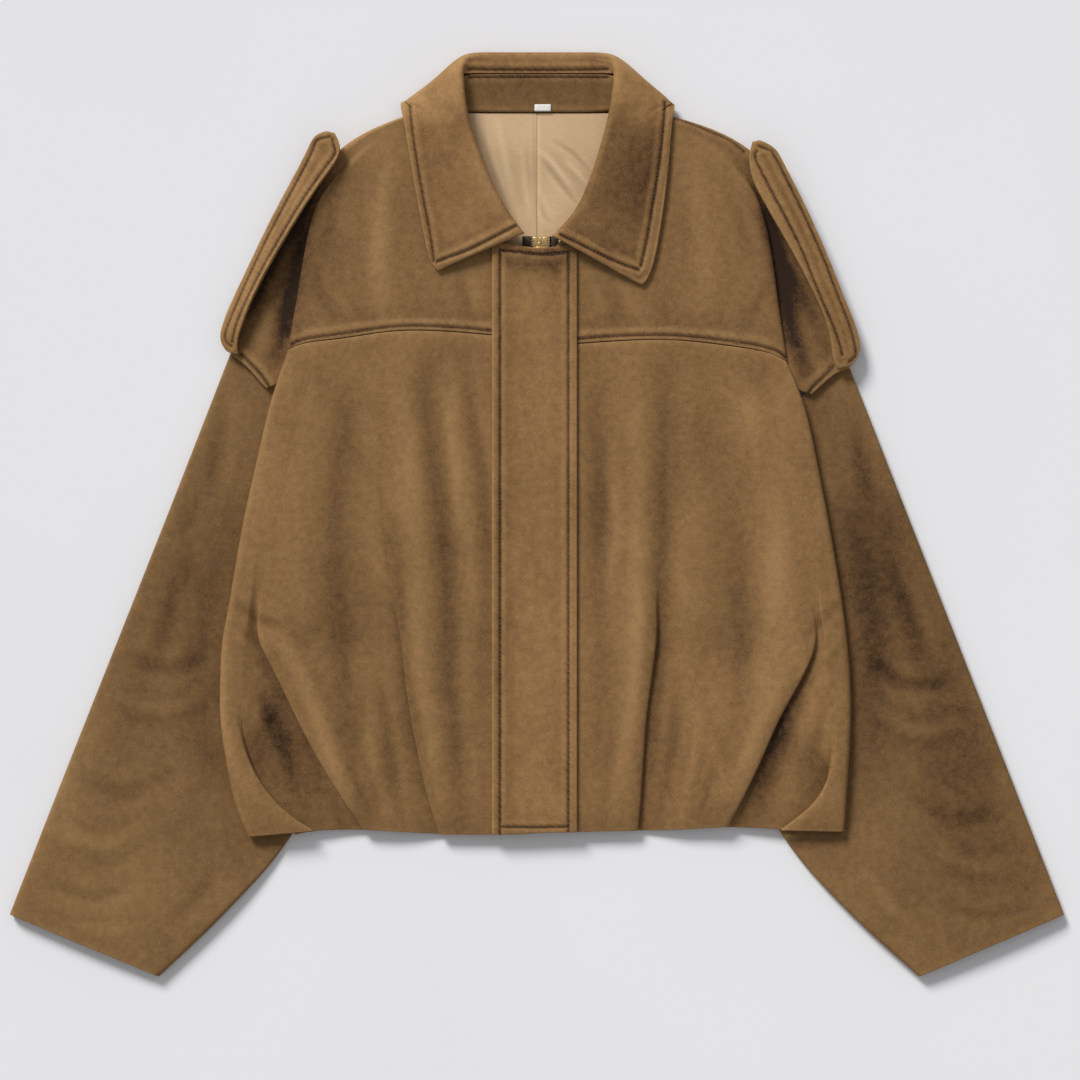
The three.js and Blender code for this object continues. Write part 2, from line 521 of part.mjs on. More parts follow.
// One row across a lower front, from the zip to the side fold and back under
function frontRow(side, y) {
  const lines = FRONT_LINES[side];
  const levelAt = (out) => frontLevel(side, out, y);
  const short = y === YOKE_Y ? SEAM_GAP + 0.4 : 0;
  const heightAt = (out, row) => rowHeight(side, out, row) - short;
  const points = [];
  const lay = (out, lift) => points.push({ out, y: heightAt(out, y), z: levelAt(out) + lift });
  lay(ZIP_HALF_GAP, 0);
  lay(PLACKET_SEAM_OUT, 0);
  let sunk = 0;
  let sunkFrom = 0;
  const shapes = FRONT_SHAPES[side];
  const edgeOf = (shape) => column(lines, 'y', shape.line)(y);
  const isTuck = (shape) => shape.depth !== undefined;
  const dropOf = (shape) => TUCK_LAYERS.at(-1) * TURN * tuckState(shape, y).sunk;
  shapes.forEach((shape, index) => {
    const out = edgeOf(shape);
    const following = shapes.slice(index).find(isTuck);
    const target = following && following.facing < 0 ? -dropOf(following) : 0;
    const underlay = following && following.facing > 0 ? following.depth * tuckState(following, y).lap : 0;
    const reach = (following ? edgeOf(following) : sideFold[side](y)) - underlay;
    const rising = mix(sunk, target, smooth((out - sunkFrom) / Math.max(1, reach - 6 - sunkFrom)));
    if (!isTuck(shape)) {
      const fade = smooth((shape.top - y) / SOFT_FADE) * smooth((y - shape.bottom) / SOFT_FADE);
      lay(out, rising + shape.rise * fade);
      return;
    }
    const state = tuckState(shape, y);
    const spread = mix(SOFT_SPREAD, TUCK_SPREAD, state.sunk);
    const clear = CUFF_OF_TUCK + (spread / 2) * (1 - state.lap);
    const room = Math.max(2, sideFold[side](y) - out - 9);
    const depth = shape.facing < 0 ? Math.min(shape.depth, room) : shape.depth;
    const before = shape.facing < 0 ? -dropOf(shape) : 0;
    if (shape.facing < 0) lay(out - clear, before);
    points.push(...tuck({
      ...state, edge: out, depth, facing: shape.facing, turn: TURN, spread, y, heightAt, levelAt, before,
    }));
    if (shape.facing > 0) {
      sunk = -dropOf(shape);
      sunkFrom = out + clear;
      lay(sunkFrom, sunk);
    } else {
      sunk = 0;
    }
  });
  const edge = sideFold[side](y);
  const top = levelAt(edge - 4);
  const bottom = mix(backLevel(side, edge - 4, y), top - CORNER_ROLL, smooth((y - 50) / 45));
  const roll = rolledEdge(side, edge, y, top, bottom, SIDE_RETURN, heightAt);
  if (y === YOKE_Y) roll.slice(2).forEach((point) => { point.y -= CORNER_SHORT; });
  return [...points, ...roll];
}

// One row across a yoke, from the neck or zip to the fold over the shoulder and the shoulder edge
function yokeRow(side, y) {
  const levelAt = (out) => frontLevel(side, out, y);
  const heightAt = (out, row) => rowHeight(side, out, row);
  const inner = neckEdge[side](y);
  const fold = sideFold[side](y);
  const share = Math.min(1, (y - YOKE_Y) / (ARM_TOP_Y - YOKE_Y));
  const corner = yokeArmSeam[side];
  const edgeY = y < ARM_TOP_Y ? mix(corner(257), ARM_TOP_Y, share) : y;
  const edge = shoulderEdge[side](edgeY);
  const outerHeight = (out) => (y < ARM_TOP_Y ? mix(corner(out), ARM_TOP_Y, share) : y);
  const state = tuckState(YOKE_FOLD, y);
  const [seamRow] = FRONT_LINES[side];
  const seamOuts = [ZIP_HALF_GAP, PLACKET_SEAM_OUT, ...Object.values(seamRow).slice(1)];
  const seamWidth = sideFold[side](YOKE_Y) - 2 - ZIP_HALF_GAP;
  const points = seamOuts.sort((a, b) => a - b).map((seamOut) => {
    const out = mix(inner, fold - 2, (seamOut - ZIP_HALF_GAP) / seamWidth);
    return { out, y: heightAt(out, y), z: levelAt(out) };
  });
  points.push(...tuck({
    ...state, edge: fold, depth: YOKE_FOLD.depth, facing: 1, turn: SHOULDER_TURN,
    spread: mix(0.1 * (edge - inner), TUCK_SPREAD, state.sunk),
    y, heightAt, levelAt,
  }));
  const sunk = TUCK_LAYERS.at(-1) * SHOULDER_TURN * state.sunk;
  const start = points.at(-1);
  const low = levelAt(fold) - sunk;
  const bottom = backLevel(side, edge - 4, edgeY);
  const top = Math.max(low + 0.8 * state.lap, bottom + OUTER_LAYER_LIFT + 0.5);
  const radius = (top - bottom) / 2;
  [0.3, 0.6, 0.85].forEach((part) => {
    const out = mix(start.out, edge - radius, part);
    const height = mix(start.y, outerHeight(out), smooth(part * 2.2));
    const clear = backLevel(side, out, height - CORNER_CLEAR) + OUTER_LAYER_LIFT;
    points.push({ out, y: height, z: Math.max(mix(low, top, part), clear) });
  });
  points.push(...rolledEdge(side, edge, edgeY, top, bottom, SHOULDER_RETURN, (out) => outerHeight(out)));
  return points;
}

const rowsOf = (side, heights, row) => heights.map((y) => row(side, y).map((point) => place(side, point)));

// The back panel, edge to edge with the returns of the fronts and yokes
function backRows() {
  const shares = [0, 0.05, 0.11, 0.18, 0.26, 0.36, 0.46, 0.54, 0.64, 0.74, 0.82, 0.89, 0.95, 1];
  const ends = [];
  const tucked = (side, y) => {
    const end = yokeRow(side, y).at(-1);
    return { out: end.out - SHOULDER_GAP, y: end.y };
  };
  YOKE_ROWS.toReversed().forEach((y) => ends.push({ left: tucked('left', y), right: tucked('right', y) }));
  CORNER_ROWS.forEach(({ y, left, right }) => ends.push({ left: { out: left, y }, right: { out: right, y } }));
  FRONT_ROWS.filter((y) => y < 90).forEach((y) => {
    const [left, right] = ['left', 'right'].map((side) => frontRow(side, y).at(-1));
    const foot = Math.max(y, BACK_HEM_Y);
    ends.push({ left: { out: left.out, y: foot }, right: { out: right.out, y: foot } });
  });
  return ends.map(({ left, right }, row) => shares.map((share) => {
    const x = mix(-left.out + SEAM_GAP, right.out - SEAM_GAP, share);
    const side = x < 0 ? 'left' : 'right';
    const out = Math.abs(x);
    const hollow = row === 0 ? (1 - smooth((out - 50) / 30)) * NECK_RISE : 0;
    const y = mix(left.y, right.y, share) + hollow;
    return new THREE.Vector3(x, y, backLevel(side, out, y));
  }));
}

// One sleeve: a flattened tube from the armhole to the cuff, pressed where the body lies on it
function sleeveRows(side) {
  const table = SLEEVES[side];
  const armhole = ARMHOLES[side];
  const at = (name) => column(table, 'v', name);
  const [outerOut, outerY, innerOut, innerY] = ['outerOut', 'outerY', 'innerOut', 'innerY'].map(at);
  const seamOut = column(armhole, 'u', 'out');
  const seamY = column(armhole, 'u', 'y');
  return SLEEVE_STATIONS.map((v) => {
    const spot = (u) => {
      const bow = (1 - v) ** 4;
      const out = mix(outerOut(v), innerOut(v), u) + (seamOut(u) - mix(outerOut(0), innerOut(0), u)) * bow;
      const y = mix(outerY(v), innerY(v), u) + (seamY(u) - mix(outerY(0), innerY(0), u)) * bow;
      return { out, y };
    };
    const width = Math.hypot(outerOut(v) - innerOut(v), outerY(v) - innerY(v));
    const topLevel = (u) => {
      const { out, y } = spot(u);
      const inSight = smooth((out - sideFold[side](y) - 7) / 30);
      const below = smooth((HEM_Y - 16 - y) / 35);
      const shown = y < HEM_Y ? Math.max(below, smooth((out - 264) / 25)) : inSight;
      const rise = (SLEEVE_DOME - SLEEVE_PRESSED + SLEEVE_CROWN * Math.sin(Math.PI * u)) * shown;
      return SLEEVE_PRESSED + rise * smooth(v / SLEEVE_RISE_SHARE);
    };
    const ring = [];
    const add = (u, z) => ring.push(place(side, { ...spot(u), z }));
    const edgeTurn = (edge, way) => {
      const radius = (topLevel(edge) - FLOOR_LEVEL) / 2;
      const slant = way < 0 ? mix(1, ARMHOLE_SLANT, (1 - v) ** 4) : 1;
      const inset = (way * radius * slant) / width;
      const middle = FLOOR_LEVEL + radius;
      const turn = [
        [edge + inset, FLOOR_LEVEL],
        [edge + inset * 0.3, middle - radius * 0.7],
        [edge, middle],
        [edge + inset * 0.3, middle + radius * 0.7],
        [edge + inset, topLevel(edge + inset)],
      ];
      (way > 0 ? turn : turn.toReversed()).forEach(([u, z]) => add(u, z));
    };
    edgeTurn(0, 1);
    [0.14, 0.28, 0.43, 0.58, 0.73, 0.87].forEach((u) => add(u, topLevel(u)));
    edgeTurn(1, -1);
    [0.8, 0.6, 0.4, 0.2].forEach((u) => add(u, FLOOR_LEVEL));
    return ring;
  });
}

// A smooth run of points through a few corners
function through(corners, count) {
  return new THREE.CatmullRomCurve3(corners, false, 'centripetal').getPoints(count - 1);
}

const point3 = ([x, y, z]) => new THREE.Vector3(x, y, z);

// The collar fall: seam, roll over the stand, and down to the edge
function collarRows() {
  const stations = [...COLLAR_LEFT, ...COLLAR_RIGHT.toReversed()];
  return stations.map(({ seam, roll, bend, edge }) => {
    const [s, r, b, e] = [seam, roll, bend, edge].map(point3);
    const leaf = r.z > 15;
    const top = r.clone().lerp(b, leaf ? 0.14 : 0.02);
    const half = r.clone().lerp(b, 0.5);
    half.z += 0.8;
    const under = leaf ? b.clone().lerp(e, 0.3).setZ(e.z) : new THREE.Vector3(b.x, b.y - 6, COLLAR_PLY / 2);
    const outward = b.clone().sub(r).setZ(0).normalize();
    const beside = (reach, drop) => r.clone().addScaledVector(outward, reach).setZ(r.z - drop);
    const turn = [beside(0.6, r.z - s.z), beside(0, 2.4), beside(2.4, 0.2)];
    const behind = [s, s.clone().lerp(r, 0.5), r, r.clone().lerp(b, 0.5).setZ(r.z - 1), b, under, e];
    const turning = [...turn, half, b, under, e];
    const lying = [...turn, top, half, b, e];
    const corners = !leaf ? behind : e.z > 14 ? lying : turning;
    return through(corners, 14).map((spot) => spot.setZ(Math.max(spot.z, COLLAR_PLY / 2)));
  });
}

// The stand, from the neckline up to the seam under the roll
function standRows() {
  const left = STAND_FOOT.map(([out, y, z]) => new THREE.Vector3(-out, y, z));
  const right = STAND_FOOT.slice(0, -1).map(([out, y, z]) => new THREE.Vector3(out, y, z)).toReversed();
  const feet = [...left, ...right];
  const heads = [...COLLAR_LEFT, ...COLLAR_RIGHT.toReversed()].map(({ seam }) => point3(seam));
  return feet.map((foot, index) => {
    const head = heads[index];
    const gap = foot.z > 6.2 ? ROLL_SEAM_GAP : 2 * SEAM_GAP;
    const short = 1 - gap / foot.distanceTo(head);
    return [0, 0.33, 0.66, 1].map((share) => foot.clone().lerp(head, share * short));
  });
}

// The placket lies on both fronts, its points moved out from theirs
function placketRows() {
  const edges = [0, 0.12, 0.35, 0.57, 0.78, 0.9, 1];
  const rise = SUEDE / 2 + SEAM_GAP + PLACKET_PLY / 2;
  const heights = [...FRONT_ROWS.toReversed().slice(0, -1), 210];
  const rows = heights.map((y) => edges.map((share) => {
    const x = mix(PLACKET_LEFT, PLACKET_RIGHT, share);
    return new THREE.Vector3(x, rowHeight(x < 0 ? 'left' : 'right', Math.abs(x), y), frontLevel('left', 0, y) + rise);
  }));
  const top = (short, drop) => edges.map((share) => {
    const x = mix(PLACKET_LEFT, PLACKET_RIGHT, share);
    return new THREE.Vector3(x, placketTop(x) - short, FRONT_LEVEL + rise - drop);
  });
  return [...rows, top(3, 0), top(0, 0.2)];
}

function strapRows(side) {
  const stations = STRAPS[side];
  const edgeCurve = (name) => through(stations.map((row) => place(side, {
    out: row[name][0], y: row[name][1], z: row[name][2],
  })), 17);
  const outer = edgeCurve('outer');
  const inner = edgeCurve('inner');
  return outer.map((point, index) => [0, 0.33, 0.67, 1].map((share) => {
    const spot = point.clone().lerp(inner[index], share);
    spot.z += 1.2 * Math.sin(Math.PI * share);
    return spot;
  }));
}

function liningRows(side) {
  const rise = SUEDE / 2 + SEAM_GAP + LINING / 2;
  return LINING_ROWS.map((y) => [SEAM_GAP / 2, 18, 36, 54, LINING_HALF].map((out) => (
    place(side, { out, y, z: backLevel(side, out, y) + rise }))));
}

function labelRows() {
  const lift = STAND_PLY / 2 + SEAM_GAP + LABEL.ply / 2 + 0.1;
  const [, , footLevel] = STAND_FOOT.at(-1);
  const head = COLLAR_LEFT.at(-1).seam;
  const level = (y) => mix(footLevel, head[2], (y - 330) / (head[1] - 330)) + lift;
  return [LABEL.foot, LABEL.head].map((y) => [LABEL.left, mix(LABEL.left, LABEL.right, 0.5), LABEL.right]
    .map((x) => new THREE.Vector3(x, y, level(y))));
}

function zipTapeRows(side) {
  const drop = SUEDE / 2 + SEAM_GAP + ZIP_TAPE.ply / 2;
  const heights = [ZIP_TAPE.foot, -240, -230, -200, -100, 0, 100, 217, 219.2, ZIP_TAPE.head];
  return heights.map((y) => {
    const edges = ZIP_TAPE_EDGES[y > 217 ? 1 : 0];
    return [edges[side], edges[side] + edges.width].map((out) => (
      place(side, { out, y, z: frontLevel(side, 0, y) - drop })));
  });
}

// A plate with rounded corners, lying flat from one level to another
function plate(width, length, low, high, corner) {
  const shape = new THREE.Shape();
  const w = width / 2;
  const l = length / 2;
  shape.moveTo(-w + corner, -l);
  shape.lineTo(w - corner, -l);
  shape.quadraticCurveTo(w, -l, w, -l + corner);
  shape.lineTo(w, l - corner);
  shape.quadraticCurveTo(w, l, w - corner, l);
  shape.lineTo(-w + corner, l);
  shape.quadraticCurveTo(-w, l, -w, l - corner);
  shape.lineTo(-w, -l + corner);
  shape.quadraticCurveTo(-w, -l, -w + corner, -l);
  const geometry = new THREE.ExtrudeGeometry(shape, { depth: high - low, bevelEnabled: false, curveSegments: 3 });
  geometry.translate(0, 0, low);
  return geometry;
}

const suede = { color: 0x83613f, roughness: 0.95, metalness: 0 };
const satin = { color: 0xc4a57e, roughness: 0.45, metalness: 0 };
const tape = { color: 0x3a2c20, roughness: 0.8, metalness: 0 };
const label = { color: 0xe8e4dc, roughness: 0.6, metalness: 0 };
const brass = { color: 0xcda455, roughness: 0.3, metalness: 1 };

const jacket = new THREE.Group();
jacket.name = 'suede_jacket';

function piece(name, geometry, finish) {
  const mesh = new THREE.Mesh(geometry, new THREE.MeshStandardMaterial(finish));
  mesh.name = name;
  jacket.add(mesh);
  return mesh;
}

piece('back', wall(backRows(), SUEDE), suede);
['left', 'right'].forEach((side) => {
  piece(`front_${side}`, wall(rowsOf(side, FRONT_ROWS, frontRow), SUEDE), suede);
  const yokeHeights = rowsOf(side, YOKE_ROWS, yokeRow);
  piece(`yoke_${side}`, wall(yokeHeights, SUEDE), suede);
  piece(`sleeve_${side}`, wall(sleeveRows(side), SUEDE, true), suede);
  piece(`epaulette_${side}`, wall(strapRows(side), STRAP_PLY), suede);
  piece(`lining_${side}`, wall(liningRows(side), LINING), satin);
  piece(`zip_tape_${side}`, wall(zipTapeRows(side), ZIP_TAPE.ply), tape);
});
piece('placket', wall(placketRows(), PLACKET_PLY), suede);
piece('collar_stand', wall(standRows(), STAND_PLY), suede);
piece('collar', wall(collarRows(), COLLAR_PLY), suede);
piece('neck_label', wall(labelRows(), LABEL.ply), label);

const sliderLength = ZIP_SLIDER.head - ZIP_SLIDER.foot;
piece('zip_slider', plate(ZIP_SLIDER.width, sliderLength, ZIP_SLIDER.low, ZIP_SLIDER.high, 2), brass)
  .position.set(ZIP_SLIDER.x, (ZIP_SLIDER.head + ZIP_SLIDER.foot) / 2, 0);
const pullLow = FRONT_LEVEL - SUEDE / 2 + SEAM_GAP - 0.2;
piece('zip_pull', plate(ZIP_PULL.width, ZIP_PULL.length, pullLow, pullLow + ZIP_PULL.ply, 2), brass)
  .position.set(ZIP_SLIDER.x, ZIP_SLIDER.foot - SEAM_GAP - ZIP_PULL.length / 2, 0);

export default jacket;
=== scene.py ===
"""The looks of a suede bomber jacket that lies flat on its back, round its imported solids.

Metres, X to the right of the picture, Y from hem to collar, Z up from the floor. Tables are in
millimetres. Each cloth panel is a copy of its solid, made smooth, with seams and creases pressed in.
"""

import math

import bmesh
import bpy
import numpy as np
from mathutils import Matrix, Vector
from mathutils.bvhtree import BVHTree

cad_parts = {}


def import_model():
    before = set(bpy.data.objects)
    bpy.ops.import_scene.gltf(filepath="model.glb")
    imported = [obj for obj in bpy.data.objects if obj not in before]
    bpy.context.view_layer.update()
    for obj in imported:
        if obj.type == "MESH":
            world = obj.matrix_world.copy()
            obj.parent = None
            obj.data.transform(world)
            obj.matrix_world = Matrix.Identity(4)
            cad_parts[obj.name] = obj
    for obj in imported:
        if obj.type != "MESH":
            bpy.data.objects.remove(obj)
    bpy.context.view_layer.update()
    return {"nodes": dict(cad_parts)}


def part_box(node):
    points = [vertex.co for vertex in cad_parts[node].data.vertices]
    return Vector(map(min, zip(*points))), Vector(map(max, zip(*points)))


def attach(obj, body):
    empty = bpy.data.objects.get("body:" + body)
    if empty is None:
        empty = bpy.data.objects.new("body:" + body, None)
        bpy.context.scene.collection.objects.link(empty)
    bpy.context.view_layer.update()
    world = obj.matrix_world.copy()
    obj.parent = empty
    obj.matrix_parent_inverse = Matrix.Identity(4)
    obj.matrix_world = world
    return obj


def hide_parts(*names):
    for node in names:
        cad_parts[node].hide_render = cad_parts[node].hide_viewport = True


MM = 0.001
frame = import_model()

# The view: straight down, as in the photograph
VIEW_HEIGHT = 3.0
VIEW_WIDTH = 0.8856
VIEW_LEVEL = 0.012
VIEW_CENTRE = (0.0025, -0.0213)
SENSOR = 36

camera = bpy.data.objects.new("camera", bpy.data.cameras.new("camera"))
bpy.context.collection.objects.link(camera)
camera.location = (*VIEW_CENTRE, VIEW_HEIGHT)
camera.data.sensor_width = SENSOR
camera.data.lens = SENSOR * (VIEW_HEIGHT - VIEW_LEVEL) / VIEW_WIDTH
bpy.context.scene.camera = camera
bpy.context.scene.view_settings.view_transform = "Standard"

# Topstitching: the length of a stitch and its gap, and each run of stitches as points in plan
STITCH_LENGTH = 2.3
STITCH_GAP = 0.8
STITCH_RUNS = {
    "collar": [
        [(-104.1, 333.7), (-100.9, 306.7), (-94.3, 265.7), (-87.7, 231.2), (-84.2, 207.6)],
        [(-82.0, 206.6), (-54.9, 216.5), (-30.3, 228.8), (-17.2, 235.5)],
        [(105.0, 337.0), (104.1, 323.1), (101.7, 298.5), (98.4, 273.9), (94.3, 249.3), (90.2, 224.7),
         (85.2, 202.7)],
        [(19.5, 228.1), (35.3, 220.6), (51.7, 212.4), (68.1, 205.0), (83.0, 199.9)],
        [(-56, 364.6), (-20, 364.2), (20, 364.2), (58, 364.6)],
    ],
    "collar_stand": [[(-56, 358.4), (-20, 358.8), (20, 358.8), (58, 358.4)]],
    "placket": [
        [(-30.3, 214.5), (-30.3, 100), (-30.3, 0), (-30.3, -130), (-30.3, -262)],
        [(25.8, 212.5), (25.8, 100), (25.8, 0), (25.8, -130), (25.8, -262)],
        [(-30.3, 216.2), (-13.9, 214.6), (3, 212.6), (16, 213.4), (25.8, 214.6)],
        [(-30.3, -256.5), (0, -256.9), (25.8, -256.3)],
    ],
    "yoke_left": [
        [(-37.4, 150.2), (-63, 153), (-112, 154.3), (-161, 147.8), (-190, 143.6), (-201, 139)],
        [(-243, 131.5), (-234, 123), (-226, 114), (-219.5, 104.5)],
    ],
    "yoke_right": [
        [(33.4, 143.8), (63, 146.1), (112, 146.8), (161, 141.6), (190, 136.4), (204, 129)],
        [(243, 121.5), (234, 112), (226, 104), (221.5, 97.5)],
        [(112, 325), (125, 320.5), (142, 313.5), (158, 306.5), (170, 297)],
    ],
    "epaulette_left": [
        [(-169.5, 308.3), (-176.3, 307.2), (-181, 304.6), (-183.6, 297.6), (-190, 284.5),
         (-206.6, 253.6), (-223, 222.3), (-239.6, 187), (-247.8, 168), (-252.8, 155.8), (-255.6, 146.4), (-254.6, 141.6), (-250.3, 137.4)],
        [(-167.4, 306.6), (-165.2, 298.5), (-166, 292.7), (-177.6, 277), (-194, 253.2),
         (-210.2, 226.2), (-226.6, 197.6), (-240.8, 168.3), (-247, 152), (-249.4, 141)],
    ],
    "epaulette_right": [
        [(182, 300.5), (190, 297.6), (193.8, 294.2), (203.4, 276), (219.8, 243), (236, 206.6), (244.4, 184.4),
         (252.6, 164), (258.2, 148.2), (261.2, 134.5), (260.6, 128.4), (256, 124.6)],
        [(179.6, 296), (178.8, 290.3), (191.1, 265.7), (203.4, 242.7), (215.7, 218.1),
         (228, 187.8), (240.3, 159.1), (246.8, 142.7), (250.1, 130.4)],
    ],
}

# Soft troughs and ridges of the cloth: half width, height and course in plan
BODY_CREASES = [
    (7, -0.9, [(-60, 130), (-52, 70), (-44, 20), (-42, -30)]),
    (5, 0.7, [(-75, 95), (-67, 36), (-63, -21)]),
    (6, -0.8, [(-226, 75), (-234, 0), (-243, -60)]),
    (9, 1.0, [(-101, -60), (-98, -120), (-92, -170), (-76, -245)]),
    (10, 1.2, [(-216, -88), (-203, -118), (-184, -162), (-160, -220), (-136, -256)]),
    (8, -1.0, [(-250, -112), (-228, -150), (-208, -188), (-199, -222)]),
    (5, -0.8, [(-249, -72), (-228, -86), (-206, -92)]),
    (4, 0.6, [(-252, -92), (-239, -106), (-226, -118)]),
    (6, -0.8, [(-127, -140), (-122, -190), (-109, -255)]),
    (5, 0.6, [(-140, -170), (-132, -212), (-119, -257)]),
    (4, -0.5, [(-152, -205), (-143, -232), (-133, -257)]),
    (6, -0.6, [(-67, -150), (-63, -205), (-57, -258)]),
    (4, 0.5, [(-51, -190), (-48, -256)]),
    (8, -0.8, [(47, 90), (50, 20), (47, -60)]),
    (6, 0.6, [(63, 60), (66, -10), (60, -70)]),
    (9, 1.0, [(89, -60), (84, -120), (79, -180), (74, -250)]),
    (9, 1.2, [(219, -104), (202, -140), (186, -172), (169, -210), (150, -252)]),
    (7, -0.9, [(249, -122), (236, -160), (226, -195), (216, -222)]),
    (5, -0.7, [(250, -70), (232, -90), (214, -103)]),
    (4, 0.5, [(251, -94), (240, -112), (229, -122)]),
    (6, -0.8, [(116, -135), (111, -190), (101, -254)]),
    (5, 0.6, [(134, -160), (127, -210), (116, -256)]),
    (4, -0.5, [(146, -200), (139, -232), (129, -255)]),
    (6, -0.6, [(63, -165), (59, -215), (53, -257)]),
    (8, -0.7, [(-150, 288), (-166, 250), (-174, 212)]),
    (9, 0.6, [(-118, 300), (-128, 250), (-131, 200), (-126, 160)]),
    (6, -0.6, [(-64, 203), (-60, 180), (-50, 158)]),
    (5, -0.5, [(-182, 205), (-176, 178), (-160, 158)]),
    (8, -0.7, [(150, 285), (165, 245), (177, 205)]),
    (9, 0.5, [(125, 290), (132, 240), (138, 190)]),
    (5, -0.5, [(58, 192), (66, 172), (64, 150)]),
    (5, -0.5, [(188, 196), (182, 172), (166, 152)]),
    (10, -0.7, [(-176, 120), (-186, 70), (-190, 20)]),
    (9, -0.6, [(178, 116), (189, 66), (196, 10)]),
]
LEFT_SLEEVE_CREASES = [
    (14, -1.3, [(-262, 70), (-286, 0), (-304, -70), (-318, -130)]),
    (9, 0.8, [(-292, -20), (-312, -75), (-326, -120)]),
    (8, -1.0, [(-272, -112), (-298, -128), (-334, -118)]),
    (6, 0.8, [(-270, -142), (-300, -160), (-346, -152)]),
    (9, -0.8, [(-296, -206), (-334, -228), (-378, -216)]),
    (7, 0.7, [(-318, -250), (-350, -270), (-394, -262)]),
    (5, -0.6, [(-330, -300), (-362, -314), (-404, -300)]),
    (6, 0.5, [(-330, -340), (-352, -344), (-380, -338)]),
    (8, -0.9, [(-258, 100), (-262, 60), (-268, 20)]),
    (7, -0.7, [(-262, -290), (-282, -318), (-306, -340)]),
]
RIGHT_SLEEVE_CREASES = [
    (15, -1.2, [(266, 60), (290, -8), (308, -80), (326, -150)]),
    (8, 0.8, [(296, -30), (318, -86), (330, -126)]),
    (7, -1.0, [(276, -118), (304, -140), (342, -136)]),
    (6, 0.7, [(274, -152), (310, -178), (352, -170)]),
    (10, -0.9, [(300, -224), (340, -250), (384, -242)]),
    (6, 0.6, [(322, -268), (356, -288), (398, -284)]),
    (5, -0.5, [(336, -318), (368, -330), (404, -322)]),
    (8, -0.9, [(262, 90), (266, 50), (272, 10)]),
    (7, 0.6, [(272, -296), (290, -322), (316, -344)]),
]
LINING_CREASES = [
    (3, -0.8, [(0.8, 262), (5.7, 246.8), (12, 238)]),
    (3, 1.1, [(2.5, 297), (11.5, 290.3), (31.2, 265.7)]),
    (2.5, -0.9, [(8, 286), (20, 271), (34, 254)]),
    (3, 1.0, [(24, 290), (34, 280), (46, 266)]),
    (2.5, -0.8, [(14, 306), (30, 296), (48, 276)]),
    (4, 0.8, [(-32, 322), (-25, 290), (-18, 258)]),
    (3, -0.7, [(-46, 312), (-36, 280), (-24, 250)]),
    (3, 0.6, [(-12, 300), (-9, 270), (-5, 244)]),
    (2, -0.7, [(-1.5, 330), (-1, 290), (0, 250), (1.5, 226)]),
]
BACK_CREASES = [
    (11, 0.5, [(-120, 205), (-70, 130), (-40, 30), (-52, -60)]),
    (8, 0.4, [(110, 215), (82, 140), (60, 40)]),
    (9, 0.5, [(-128, -120), (-96, -180), (-84, -250)]),
    (7, 0.4, [(-30, -130), (-26, -190), (-34, -250)]),
    (8, 0.5, [(40, -110), (52, -170), (46, -248)]),
    (9, 0.5, [(132, -100), (112, -170), (104, -250)]),
    (12, 0.4, [(-90, 260), (0, 238), (92, 262)]),
]

# Painted light and shade: bands where the colour is made lighter on fold crests and darker in fold
# hollows and on the sides turned from the light; half width, tone, course in plan. The painted
# shadows of the next table darken only what lies under the top layer.
BODY_PAINTED_SHADE = [
    (10, -0.17, [(-157, 100), (-165, 12), (-164, -70), (-157, -144), (-151, -202), (-141, -252)]),
    (7, -0.16, [(-121, 0), (-114, -70), (-110, -120), (-100, -169), (-88, -240)]),
    (9, 0.13, [(-124, 126), (-106, 77), (-100, -5), (-96, -70), (-92, -136), (-84, -202), (-79, -255)]),
    (9, -0.19, [(-92, 143), (-89, 77), (-80, 12), (-73, -70), (-70, -152), (-63, -250)]),
    (5, 0.12, [(-71, 126), (-65, 61), (-57, -5), (-51, -87)]),
    (6, -0.12, [(-55, 94), (-45, 44), (-41, -38), (-46, -150)]),
    (15, 0.09, [(-215, 112), (-225, 12), (-239, -72)]),
    (7, 0.13, [(-235, -93), (-203, -112), (-183, -152), (-166, -202), (-149, -256)]),
    (6, 0.16, [(-256, -111), (-258, -169), (-248, -202), (-226, -240)]),
    (9, -0.12, [(45, 112), (52, 52), (52, -21), (52, -87), (52, -200)]),
    (9, 0.15, [(78, 128), (81, 52), (81, -38), (78, -120), (70, -185), (64, -250)]),
    (9, -0.22, [(105, 136), (103, 69), (103, -21), (101, -87), (96, -152), (90, -218), (86, -256)]),
    (11, -0.14, [(152, 10), (160, -22), (168, -70), (166, -136), (156, -210)]),
    (13, 0.14, [(195, 112), (199, 28), (195, -70), (187, -136), (174, -202), (163, -250)]),
    (5, 0.15, [(-59, 204), (-48, 158)]),
    (8, -0.08, [(-80, 190), (-75, 153)]),
    (12, 0.10, [(-120, 300), (-130, 230), (-124, 165)]),
    (12, 0.10, [(128, 300), (140, 230), (135, 160)]),
    (9, -0.10, [(101, 190), (105, 150)]),
    (16, -0.10, [(-150, 300), (-168, 250), (-178, 200), (-186, 160)]),
]
